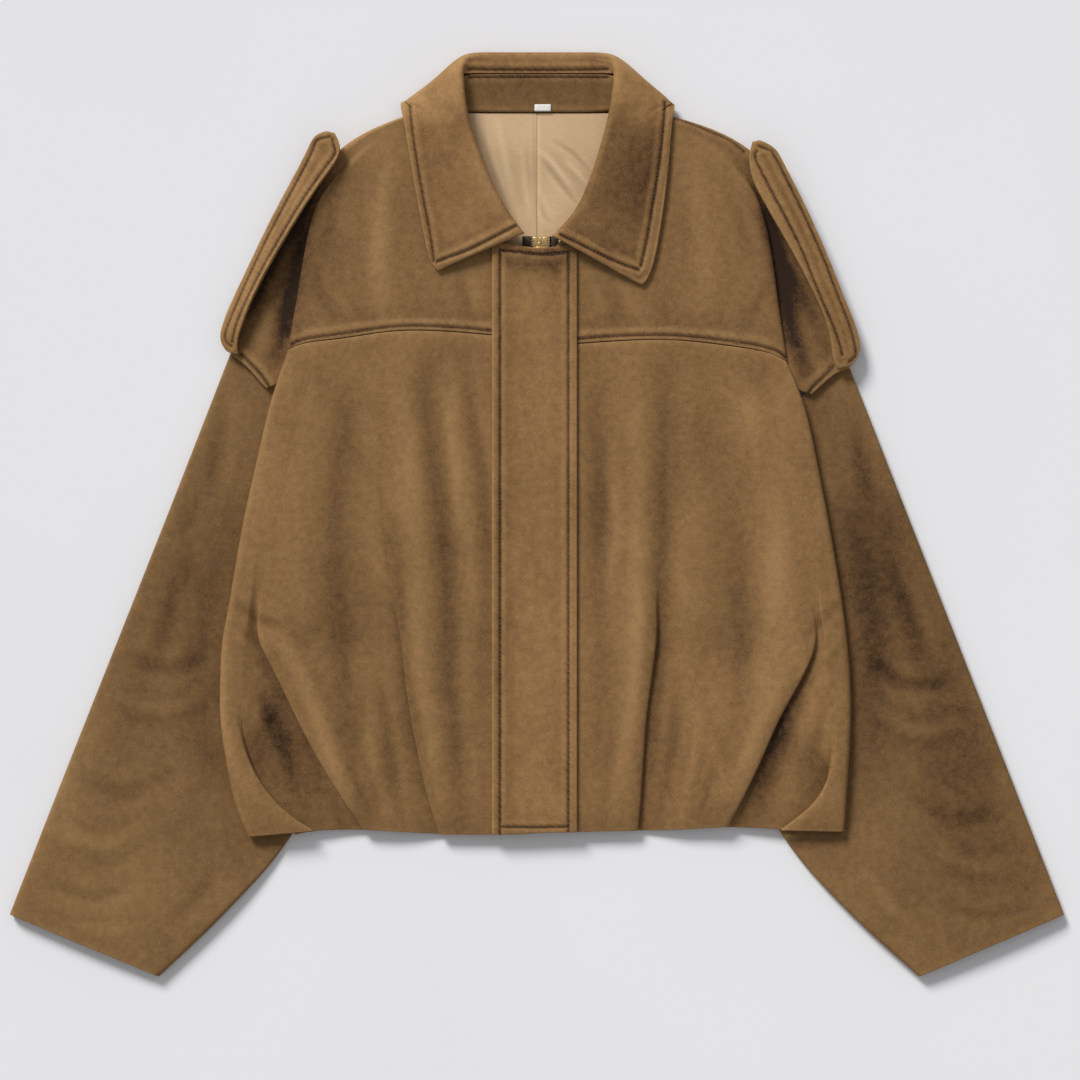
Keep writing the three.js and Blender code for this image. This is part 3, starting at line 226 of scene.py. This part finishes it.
# Painted shadow in the recesses beside the hem tucks and between the shoulder straps and the body's folded
# edges.
PAINTED_HOLLOW_SHADOWS = [
    (34, -0.30, [(-246, -108), (-228, -146), (-209, -186), (-190, -226), (-176, -256)]),
    (14, -0.42, [(222, -122), (201, -169), (186, -210), (170, -256)]),
    (10, -0.30, [(234, -124), (241, -169), (235, -210), (217, -246)]),
    (8, -0.60, [(-168, 296), (-180, 276), (-200, 243), (-221, 200), (-240, 152), (-244, 134)]),
    (10, -0.55, [(-188, 252), (-198, 200), (-209, 150), (-216, 112)]),
    (9, -0.55, [(184, 262), (192, 234), (202, 184), (214, 136), (222, 98)]),
    (7, -0.35, [(176, 280), (190, 236), (210, 196), (228, 158), (240, 124)]),
]
# Heights over which the painted shadow fades out: full below the lower, none above the upper.
PAINTED_SHADOW_TOP = 14.2
PAINTED_SHADOW_FLOOR = 12.4
# Painted shade on the sleeves: the right sleeve darker as turned from the light, darker beside the body's
# edges, lighter bands toward the outer edges.
SLEEVE_PAINTED_SHADE = [
    (34, -0.14, [(-290, -10), (-318, -100), (-345, -190)]),
    (18, -0.16, [(-256, 60), (-268, -30), (-278, -130), (-270, -230)]),
    (16, 0.10, [(-330, -90), (-372, -190), (-410, -290)]),
    (26, 0.09, [(-300, -270), (-336, -330), (-386, -320)]),
    (60, -0.27, [(270, 60), (312, -70), (350, -190), (370, -350)]),
    (16, -0.22, [(252, 80), (264, 0), (276, -100), (276, -220)]),
    (14, 0.08, [(300, 10), (345, -110), (392, -230), (424, -310)]),
]
# Painted light and shade on the collar, stand and placket: the right collar leaf darker as turned from the
# light, its rim lighter, and a painted shadow of the collar along the placket's top.
TRIM_PAINTED_SHADE = [
    (30, -0.30, [(84, 340), (80, 285), (66, 238), (40, 226)]),
    (4, 0.24, [(109, 330), (104, 276), (97, 226), (88, 192)]),
    (16, -0.10, [(-82, 340), (-78, 285), (-70, 235)]),
    (6, 0.10, [(-56, 310), (-42, 268), (-24, 240)]),
    (9, -0.30, [(-40, 212), (0, 210), (40, 212)]),
    (5, -0.10, [(-32, 190), (-32, -262)]),
    (26, -0.14, [(-58, 346), (0, 346), (58, 346)]),
]

# How a crease fades to its ends: it starts a little way along the fade, which this power shapes
CREASE_START = 0.04
CREASE_TAPER = 0.7
# Limits of the painted light and shade.
PAINTED_DARKEST, PAINTED_LIGHTEST = -0.6, 0.3


def course(points, step):
    """A smooth line through a few points, as points about a step apart."""
    knots = np.array([points[0], *points, points[-1]], float)
    found = []
    for a, b, c, d in zip(knots, knots[1:], knots[2:], knots[3:]):
        count = max(2, int(np.hypot(*(c - b)) / step))
        for t in np.arange(count) / count:
            bend = 2 * b + (c - a) * t + (2 * a - 5 * b + 4 * c - d) * t**2 + (3 * b - a - 3 * c + d) * t**3
            found.append(bend / 2)
    return np.array([*found, knots[-1]])


def beside(line, spots):
    """How far each spot lies from a line, and how far along the line its nearest point is."""
    start, step = line[:-1], np.diff(line, axis=0)
    length = np.hypot(*step.T)
    away = np.full(len(spots), 1e9)
    share = np.zeros(len(spots))
    done = 0
    for place, way, size in zip(start, step, length):
        reach = spots - place
        part = np.clip(reach @ way / size**2, 0, 1)
        distance = np.hypot(*(reach - part[:, None] * way).T)
        nearer = distance < away
        away[nearer] = distance[nearer]
        share[nearer] = (done + part[nearer] * size) / length.sum()
        done += size
    return away, share


def creased(spots, creases):
    """The height that a set of creases adds at each spot: full in the middle, fading to both ends."""
    height = np.zeros(len(spots))
    for width, rise, points in creases:
        away, share = beside(course(points, 8), spots)
        taper = np.sin(math.pi * (share * (1 - 2 * CREASE_START) + CREASE_START)) ** CREASE_TAPER
        height += rise * taper * np.exp(-((away / width) ** 2))
    return height


def painted_shading(spots, painted_shades):
    """The painted light and shade added to the colour at each spot."""
    tone = creased(spots[:, :2], painted_shades)
    # Painted shadow only on what lies below the top layer.
    painted_shadow_mask = np.clip((PAINTED_SHADOW_TOP - spots[:, 2]) / (PAINTED_SHADOW_TOP - PAINTED_SHADOW_FLOOR), 0, 1)
    if painted_shades is BODY_PAINTED_SHADE:
        tone += painted_shadow_mask * creased(spots[:, :2], PAINTED_HOLLOW_SHADOWS)
    return np.clip(tone, PAINTED_DARKEST, PAINTED_LIGHTEST)


def stitched(spots, runs):
    """How far each spot lies from the nearest run of stitches."""
    away = np.full(len(spots), 1e9)
    for points in runs:
        away = np.minimum(away, beside(course(points, 5), spots)[0])
    return away


# Cloth
RIM_ANGLE = math.radians(62)
RIM_CREASE = 0.55
SEAM_BAND = 7.0

# Across a seam: half widths of the stitch line, of its padded edge and of the puckers, how far
# beside the stitches the padding lies, and how high and close the puckers are
SEAM_WIDTH = 1.2
PAD_OFFSET, PAD_WIDTH = 3.6, 2.6
PUCKER_RISE, PUCKER_WIDTH = 0.12, 3.5
PUCKER_PITCH = (0.9, 1.1)
# How proud a ridge stands for full rubbed nap, and how deep a hollow lies for full painted shade.
FULL_WEAR_AND_SHADE = 0.06


def panel(node):
    """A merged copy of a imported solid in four-sided faces, its rims held from shrinking."""
    shape = bmesh.new()
    shape.from_mesh(frame["nodes"][node].data)
    bmesh.ops.remove_doubles(shape, verts=shape.verts, dist=0.02 * MM)
    bmesh.ops.join_triangles(
        shape, faces=shape.faces, angle_face_threshold=0.9, angle_shape_threshold=math.pi
    )
    held = shape.edges.layers.float.new("crease_edge")
    for edge in shape.edges:
        if edge.is_manifold and edge.calc_face_angle() > RIM_ANGLE:
            edge[held] = RIM_CREASE
    return shape


def settled(shape, name, levels):
    """The shape as a new object, rounded by subdivision and baked into its mesh."""
    rough = bpy.data.meshes.new(name)
    shape.to_mesh(rough)
    shape.free()
    piece = bpy.data.objects.new(name, rough)
    bpy.context.collection.objects.link(piece)
    if levels:
        rounding = piece.modifiers.new("rounding", "SUBSURF")
        rounding.levels = rounding.render_levels = levels
        bpy.context.view_layer.update()
        baked = bpy.data.meshes.new_from_object(piece.evaluated_get(bpy.context.evaluated_depsgraph_get()))
        piece.modifiers.clear()
        piece.data = baked
        bpy.data.meshes.remove(rough)
        baked.name = name
    piece.data.polygons.foreach_set("use_smooth", [True] * len(piece.data.polygons))
    return piece


def points_of(mesh):
    spots = np.empty(3 * len(mesh.vertices))
    mesh.vertices.foreach_get("co", spots)
    return spots.reshape(-1, 3) / MM


def normals_of(mesh):
    normals = np.empty(3 * len(mesh.vertices))
    mesh.vertex_normals.foreach_get("vector", normals)
    return normals.reshape(-1, 3)


def refined(piece, runs, rounds):
    """Finer faces in a band along the stitching."""
    shape = bmesh.new()
    shape.from_mesh(piece.data)
    for band in (SEAM_BAND, SEAM_BAND * 0.6)[:rounds]:
        middles = np.array([((e.verts[0].co + e.verts[1].co) / 2)[:2] for e in shape.edges]) / MM
        near = stitched(middles, runs) < band
        edges = [edge for edge, close in zip(shape.edges, near) if close]
        bmesh.ops.subdivide_edges(shape, edges=edges, cuts=1, use_grid_fill=True)
    shape.to_mesh(piece.data)
    shape.free()
    piece.data.polygons.foreach_set("use_smooth", [True] * len(piece.data.polygons))


def ridge_wear_and_hollow_shade(mesh, spots):
    """How far each spot stands proud of its neighbours, for rubbed nap on ridges and painted shade in hollows:
    -1 in hollows, 1 on ridges.
    """
    ends = np.empty(2 * len(mesh.edges), int)
    mesh.edges.foreach_get("vertices", ends)
    ends = ends.reshape(-1, 2)
    count = np.bincount(ends.ravel(), minlength=len(spots))[:, None]
    normals = normals_of(mesh)
    total = np.zeros_like(spots)
    np.add.at(total, ends[:, 0], spots[ends[:, 1]])
    np.add.at(total, ends[:, 1], spots[ends[:, 0]])
    proud = ((spots - total / np.maximum(count, 1)) * normals).sum(1)
    for _ in range(4):
        blurred = np.zeros(len(spots))
        np.add.at(blurred, ends[:, 0], proud[ends[:, 1]])
        np.add.at(blurred, ends[:, 1], proud[ends[:, 0]])
        proud = 0.5 * proud + 0.5 * blurred / np.maximum(count[:, 0], 1)
    return np.clip(proud / FULL_WEAR_AND_SHADE, -1, 1)


def record(mesh, name, values):
    mesh.attributes.new(name, "FLOAT", "POINT").data.foreach_set("value", values)


def cloth(node, levels, finish, creases=(), painted_shades=(), puff=0.0, groove=0.35, rounds=0):
    """One cloth piece, standing for its solid."""
    runs = STITCH_RUNS.get(node, ())
    piece = settled(panel(node), f"{node}_cloth", levels)
    if runs and rounds:
        refined(piece, runs, rounds)
    mesh = piece.data
    spots = points_of(mesh)
    facing = normals_of(mesh)[:, 2]
    plan = spots[:, :2]
    spots[:, 2] += creased(plan, creases)
    seam = np.zeros(len(spots))
    if runs:
        away = stitched(plan, runs)
        raised = np.clip(facing, 0, 1) * (facing > 0.1)
        seam = np.exp(-((away / SEAM_WIDTH) ** 2))
        padded = puff * np.exp(-(((away - PAD_OFFSET) / PAD_WIDTH) ** 2))
        pucker = PUCKER_RISE * np.sin(plan @ PUCKER_PITCH) * np.exp(-((away / PUCKER_WIDTH) ** 2))
        spots[:, 2] += raised * (padded - groove * seam + pucker)
    spots[:, 2] = np.maximum(spots[:, 2], 0)
    mesh.vertices.foreach_set("co", (spots * MM).ravel())
    mesh.update()
    # Lighter on ridges as rubbed nap, darker in hollows as painted shade.
    record(mesh, "wear", ridge_wear_and_hollow_shade(mesh, spots))
    # The stitch line, which also darkens the colour in its groove as painted shade.
    record(mesh, "seam", seam)
    # Painted light and shade, lighter or darker where the tables place it.
    record(mesh, "shade", painted_shading(spots, painted_shades))
    mesh.materials.clear()
    mesh.materials.append(finish)
    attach(piece, "root")
    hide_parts(node)
    return piece


class Value:
    """A number that varies over a surface. Sums and products of it add Math nodes."""

    def __init__(self, finish, socket):
        self.finish = finish
        self.socket = socket

    def worked(self, operation, *values):
        node = self.finish.add("ShaderNodeMath", {"operation": operation}, dict(enumerate(values)))
        return Value(self.finish, node.outputs[0])

    def __add__(self, other):
        return self.worked("ADD", self, other)

    def __sub__(self, other):
        return self.worked("SUBTRACT", self, other)

    def __mul__(self, other):
        return self.worked("MULTIPLY", self, other)

    __radd__ = __add__
    __rmul__ = __mul__


class Finish:
    """A material with one Principled shader, and one way to add any other node."""

    def __init__(self, name, **constants):
        self.material = bpy.data.materials.new(name)
        self.material.use_nodes = True
        self.tree = self.material.node_tree
        self.shader = self.tree.nodes["Principled BSDF"]
        for socket, value in constants.items():
            self.shader.inputs[socket.replace("_", " ")].default_value = value
        place = self.add("ShaderNodeTexCoord")
        self.place = Value(self, place.outputs["Object"])

    def add(self, kind, settings=None, sockets=None):
        node = self.tree.nodes.new(kind)
        for name, setting in (settings or {}).items():
            if name == "stops":
                ramp = node.color_ramp.elements
                while len(ramp) < len(setting):
                    ramp.new(1.0)
                for stop, (place, colour) in zip(ramp, setting):
                    stop.position = place
                    stop.color = (*colour, 1)
            else:
                setattr(node, name, setting)
        for name, value in (sockets or {}).items():
            if isinstance(value, Value):
                self.tree.links.new(value.socket, node.inputs[name])
            else:
                node.inputs[name].default_value = value
        return node

    def noise(self, scale, detail=2.0, roughness=0.5, distortion=0.0, place=None):
        sockets = {"Vector": place or self.place, "Scale": scale, "Detail": detail}
        sockets.update({"Roughness": roughness, "Distortion": distortion})
        node = self.add("ShaderNodeTexNoise", {}, sockets)
        return Value(self, node.outputs[0])

    def mark(self, name):
        node = self.add("ShaderNodeAttribute", {"attribute_name": name})
        return Value(self, node.outputs["Fac"])

    def stretched(self, scale, turn=0.0):
        settings = {"vector_type": "POINT"}
        sockets = {"Vector": self.place, "Rotation": (0, 0, turn), "Scale": scale}
        return Value(self, self.add("ShaderNodeMapping", settings, sockets).outputs[0])

    def ramp(self, value, stops):
        return Value(self, self.add("ShaderNodeValToRGB", {"stops": stops}, {"Fac": value}).outputs["Color"])

    def feed(self, socket, value):
        self.tree.links.new(value.socket, self.shader.inputs[socket])

    def bump(self, height, distance, strength=1.0):
        sockets = {"Height": height, "Distance": distance, "Strength": strength}
        self.feed("Normal", Value(self, self.add("ShaderNodeBump", {}, sockets).outputs["Normal"]))


def suede(name, tint=1.0):
    """Brushed suede: clouds where the nap lies one way or the other, small flecks, fine grain, rubbed ridges,
    and painted shade in hollows, stitch grooves and along folds.
    """
    sheen = {"Sheen_Weight": 0.2, "Sheen_Roughness": 0.45, "Sheen_Tint": (0.75, 0.5, 0.26, 1)}
    finish = Finish(name, Specular_IOR_Level=0.18, **sheen)
    cloud = finish.noise(7.5, 3, 0.55, 0.4)
    brushed = finish.noise(26, 4, 0.6, 0.8, finish.stretched((1.0, 0.55, 1.0), 0.25))
    fleck = finish.noise(170, 3, 0.65)
    grain = finish.noise(900, 3, 0.7)
    tone = (cloud - 0.5) * 0.2 + (brushed - 0.5) * 0.3 + (fleck - 0.5) * 0.4 + (grain - 0.5) * 0.5
    # Darker in hollows and stitch grooves as painted shade, lighter on ridges as rubbed nap, and the painted
    # light and shade of the tables.
    tone = tone + finish.mark("wear") * 0.14 - finish.mark("seam") * 0.3 + finish.mark("shade") + 0.5
    stops = [
        (0.0, [0.022 * tint, 0.0095 * tint, 0.0035 * tint]),
        (0.2, [0.104 * tint, 0.05 * tint, 0.017 * tint]),
        (0.5, [0.218 * tint, 0.117 * tint, 0.043 * tint]),
        (0.8, [0.335 * tint, 0.192 * tint, 0.078 * tint]),
    ]
    finish.feed("Base Color", finish.ramp(tone, stops))
    finish.feed("Roughness", 0.74 + (cloud - 0.5) * 0.2 + (fleck - 0.5) * 0.2)
    finish.bump(fleck * 0.5 + grain * 0.5, 0.5 * MM, 0.55)
    return finish.material


def satin(name):
    """Plain woven lining: a fine twill, and a soft gloss."""
    finish = Finish(name, Sheen_Weight=0.1, Sheen_Roughness=0.3, Specular_IOR_Level=0.55)
    thread = finish.noise(700, 2, 0.5, 0.0, finish.stretched((0.3, 2.2, 1.0), 0.7))
    cloud = finish.noise(30, 2, 0.5)
    # Lighter on crease ridges, and darker in their hollows as painted shade.
    tone = (thread - 0.5) * 0.35 + (cloud - 0.5) * 0.3 + finish.mark("wear") * 0.25 + 0.5
    stops = [(0.15, [0.41, 0.26, 0.135]), (0.5, [0.585, 0.395, 0.218]), (0.85, [0.74, 0.53, 0.325])]
    finish.feed("Base Color", finish.ramp(tone, stops))
    finish.feed("Roughness", 0.36 + (thread - 0.5) * 0.2)
    finish.bump(thread, 0.1 * MM, 0.4)
    return finish.material


def woven(name, dark, light, scale=900, rough=0.7):
    """Tape, label or thread: a fine weave between two shades."""
    finish = Finish(name, Specular_IOR_Level=0.3)
    across = finish.noise(scale, 1, 0.5, 0.0, finish.stretched((1.0, 0.25, 1.0)))
    along = finish.noise(scale, 1, 0.5, 0.0, finish.stretched((0.25, 1.0, 1.0)))
    tone = across * 0.5 + along * 0.5
    finish.feed("Base Color", finish.ramp(tone, [(0.3, dark), (0.7, light)]))
    finish.feed("Roughness", rough + (across - 0.5) * 0.2)
    finish.bump(tone, 0.15 * MM, 0.5)
    return finish.material


def brass(name, shade=1.0):
    """Polished brass with fine scratches and duller patches."""
    finish = Finish(name, Metallic=1.0)
    scratch = finish.noise(2600, 2, 0.6, 0.0, finish.stretched((0.1, 1.0, 1.0), 0.4))
    patch = finish.noise(220, 2, 0.5)
    stops = [
        (0.3, [0.52 * shade, 0.33 * shade, 0.12 * shade]),
        (0.7, [0.85 * shade, 0.6 * shade, 0.26 * shade]),
    ]
    finish.feed("Base Color", finish.ramp(patch * 0.6 + scratch * 0.4, stops))
    finish.feed("Roughness", 0.22 + patch * 0.2)
    finish.bump(scratch, 0.05 * MM, 0.4)
    return finish.material


body_suede = suede("body_suede")
trim_suede = suede("trim_suede", 1.14)
sleeve_suede = suede("sleeve_suede", 0.86)
lining_satin = satin("lining_satin")
tape_weave = woven("tape_weave", [0.018, 0.012, 0.008], [0.05, 0.034, 0.022])
label_weave = woven("label_weave", [0.7, 0.69, 0.66], [0.88, 0.87, 0.84], 1500, 0.6)
thread_twist = woven("thread_twist", [0.062, 0.034, 0.014], [0.16, 0.095, 0.045], 2500, 0.55)
bright_brass = brass("bright_brass")
dark_brass = brass("dark_brass", 0.3)

made = {}
made["back"] = cloth("back", 2, body_suede, BACK_CREASES)
for side, sleeve_creases in (("left", LEFT_SLEEVE_CREASES), ("right", RIGHT_SLEEVE_CREASES)):
    front, yoke, sleeve, strap = (f"{kind}_{side}" for kind in ("front", "yoke", "sleeve", "epaulette"))
    made[front] = cloth(front, 3, body_suede, BODY_CREASES, BODY_PAINTED_SHADE)
    made[yoke] = cloth(yoke, 2, body_suede, BODY_CREASES, BODY_PAINTED_SHADE, 0.5, 0.35, 2)
    made[sleeve] = cloth(sleeve, 3, sleeve_suede, sleeve_creases, SLEEVE_PAINTED_SHADE)
    made[strap] = cloth(strap, 2, trim_suede, (), (), 0.7, 0.5, 2)
    made[f"lining_{side}"] = cloth(f"lining_{side}", 4, lining_satin, LINING_CREASES)
    made[f"zip_tape_{side}"] = cloth(f"zip_tape_{side}", 1, tape_weave)
made["placket"] = cloth("placket", 2, trim_suede, (), TRIM_PAINTED_SHADE, 0.5, 0.5, 2)
made["collar_stand"] = cloth("collar_stand", 2, body_suede, (), TRIM_PAINTED_SHADE, 0.3, 0.35, 2)
made["collar"] = cloth("collar", 2, trim_suede, (), TRIM_PAINTED_SHADE, 0.9, 0.55, 2)
made["neck_label"] = cloth("neck_label", 2, label_weave)


def stitches(owner, runs):
    """Rows of short raised stitches, lying on their cloth."""
    mesh = made[owner].data
    ground = BVHTree.FromPolygons([v.co for v in mesh.vertices], [p.vertices[:] for p in mesh.polygons])
    seed = bmesh.new()
    lying = Matrix.Rotation(math.pi / 2, 4, "Y")
    bmesh.ops.create_uvsphere(seed, u_segments=6, v_segments=4, radius=1, matrix=lying)
    bmesh.ops.scale(seed, vec=(STITCH_LENGTH / 2 * MM, 0.32 * MM, 0.3 * MM), verts=seed.verts)
    pattern = bpy.data.meshes.new("stitch")
    seed.to_mesh(pattern)
    seed.free()
    row = bmesh.new()
    for points in runs:
        line = course(points, 0.5)
        steps = np.hypot(*np.diff(line, axis=0).T)
        done = np.concatenate([[0], np.cumsum(steps)])
        for at in np.arange(1, done[-1] - 1, STITCH_LENGTH + STITCH_GAP):
            x, y = (np.interp(at, done, line[:, axis]) for axis in (0, 1))
            ahead, aside = (np.interp(at + 1, done, line[:, axis]) for axis in (0, 1))
            hit, normal, _, _ = ground.ray_cast(Vector((x * MM, y * MM, 0.06)), Vector((0, 0, -1)))
            if hit is None:
                continue
            along = Vector((ahead - x, aside - y, 0))
            along = (along - normal * along.dot(normal)).normalized()
            turn = Matrix((along, normal.cross(along), normal)).transposed().to_4x4()
            one = pattern.copy()
            one.transform(Matrix.Translation(hit + normal * 0.12 * MM) @ turn)
            row.from_mesh(one)
            bpy.data.meshes.remove(one)
    thread = settled(row, f"{owner}_stitches", 0)
    bpy.data.meshes.remove(pattern)
    thread.data.materials.append(thread_twist)
    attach(thread, "root")


for owner, runs in STITCH_RUNS.items():
    stitches(owner, runs)

# The zip: teeth on both tapes, the slider and its pull
TOOTH_PITCH = 2.0
TOOTH = (1.9, 1.1, 1.5)
TAPE_LEVEL = 10.8
TEETH_FOOT, TEETH_MEET, TEETH_HEAD = -246, 217, 229
TOOTH_LANES = ((0, -0.75, -4.4), (1, 0.75, 10.3))


def block(shape, size, centre, bevel):
    """A box with rounded edges, in millimetres."""
    corners = bmesh.ops.create_cube(shape, size=1.0)["verts"]
    bmesh.ops.scale(shape, vec=[side * MM for side in size], verts=corners)
    bmesh.ops.translate(shape, vec=[place * MM for place in centre], verts=corners)
    edges = list({edge for vert in corners for edge in vert.link_edges})
    bmesh.ops.bevel(
        shape, geom=edges, offset=bevel * MM, segments=2, profile=0.5, affect="EDGES", material=-1
    )


def metal(shape, name, finish, slot, *replaced):
    """A finished metal piece of the zip."""
    bmesh.ops.recalc_face_normals(shape, faces=shape.faces)
    piece = settled(shape, name, 0)
    piece.data.materials.append(finish)
    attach(piece, "root")
    if replaced:
        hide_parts(*replaced)
    return piece


teeth = bmesh.new()
for step in range(int((TEETH_HEAD - TEETH_FOOT) / TOOTH_PITCH)):
    y = TEETH_FOOT + step * TOOTH_PITCH
    for lane, closed_x, open_x in TOOTH_LANES:
        if TEETH_MEET - 1 < y < TEETH_MEET + 3:
            continue
        x = closed_x if y < TEETH_MEET else open_x
        corners = bmesh.ops.create_cube(teeth, size=1.0)["verts"]
        bmesh.ops.scale(teeth, vec=[size * MM for size in TOOTH], verts=corners)
        spot = (x * MM, (y + lane * TOOTH_PITCH / 2) * MM, (TAPE_LEVEL + 0.5) * MM)
        bmesh.ops.translate(teeth, vec=spot, verts=corners)
metal(teeth, "zip_teeth", dark_brass, "brass")

low, high = (np.array(corner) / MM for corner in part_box("zip_slider"))
middle_x, middle_y = (low[0] + high[0]) / 2, (low[1] + high[1]) / 2
slider = bmesh.new()
for wing in (-1, 1):
    block(slider, (4.2, 7.6, 1.3), (middle_x + wing * 3.9, middle_y, high[2] - 1.6), 0.5)
    block(slider, (4.2, 7.6, 1.0), (middle_x + wing * 3.9, middle_y, low[2] + 0.6), 0.4)
    block(slider, (1.0, 5.0, 2.6), (middle_x + wing * 5.6, middle_y - 1.2, (low[2] + high[2]) / 2 - 0.4), 0.35)
block(slider, (5.4, 3.4, 1.3), (middle_x, middle_y - 2.1, high[2] - 1.6), 0.5)
block(slider, (5.0, 3.0, 1.0), (middle_x, middle_y - 2.1, low[2] + 0.6), 0.4)
block(slider, (2.0, 5.2, 1.2), (middle_x, middle_y + 0.6, high[2] - 0.6), 0.45)
metal(slider, "zip_slider_brass", bright_brass, "brass", "zip_slider")

low, high = (np.array(corner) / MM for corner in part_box("zip_pull"))
pull = bmesh.new()
centre = [(a + b) / 2 for a, b in zip(low, high)]
block(pull, [b - a for a, b in zip(low, high)], centre, 0.3)
metal(pull, "zip_pull_brass", bright_brass, "brass", "zip_pull")

# Floor and light
ground = bmesh.new()
bmesh.ops.create_grid(ground, x_segments=1, y_segments=1, size=6)
floor = settled(ground, "floor", 0)
paper = Finish("pale_floor", Roughness=0.9, Specular_IOR_Level=0.1)
shade = paper.ramp(paper.noise(3, 2), [(0.3, [0.775, 0.77, 0.78]), (0.7, [0.79, 0.785, 0.795])])
paper.feed("Base Color", shade)
floor.data.materials.append(paper.material)

SUN_HEIGHT = math.radians(32)
SUN_HEADING = math.radians(-60)
sun = bpy.data.objects.new("key", bpy.data.lights.new("key", "SUN"))
sun.data.energy = 3.45
sun.data.angle = math.radians(20)
beam = Vector((
    math.cos(SUN_HEADING) * math.cos(SUN_HEIGHT),
    math.sin(SUN_HEADING) * math.cos(SUN_HEIGHT),
    -math.sin(SUN_HEIGHT),
))
sun.rotation_euler = beam.to_track_quat("-Z", "Y").to_euler()
bpy.context.collection.objects.link(sun)
world = bpy.data.worlds.new("studio")
world.use_nodes = True
world.node_tree.nodes["Background"].inputs["Color"].default_value = (0.98, 0.985, 1.0, 1)
world.node_tree.nodes["Background"].inputs["Strength"].default_value = 0.41
bpy.context.scene.world = world
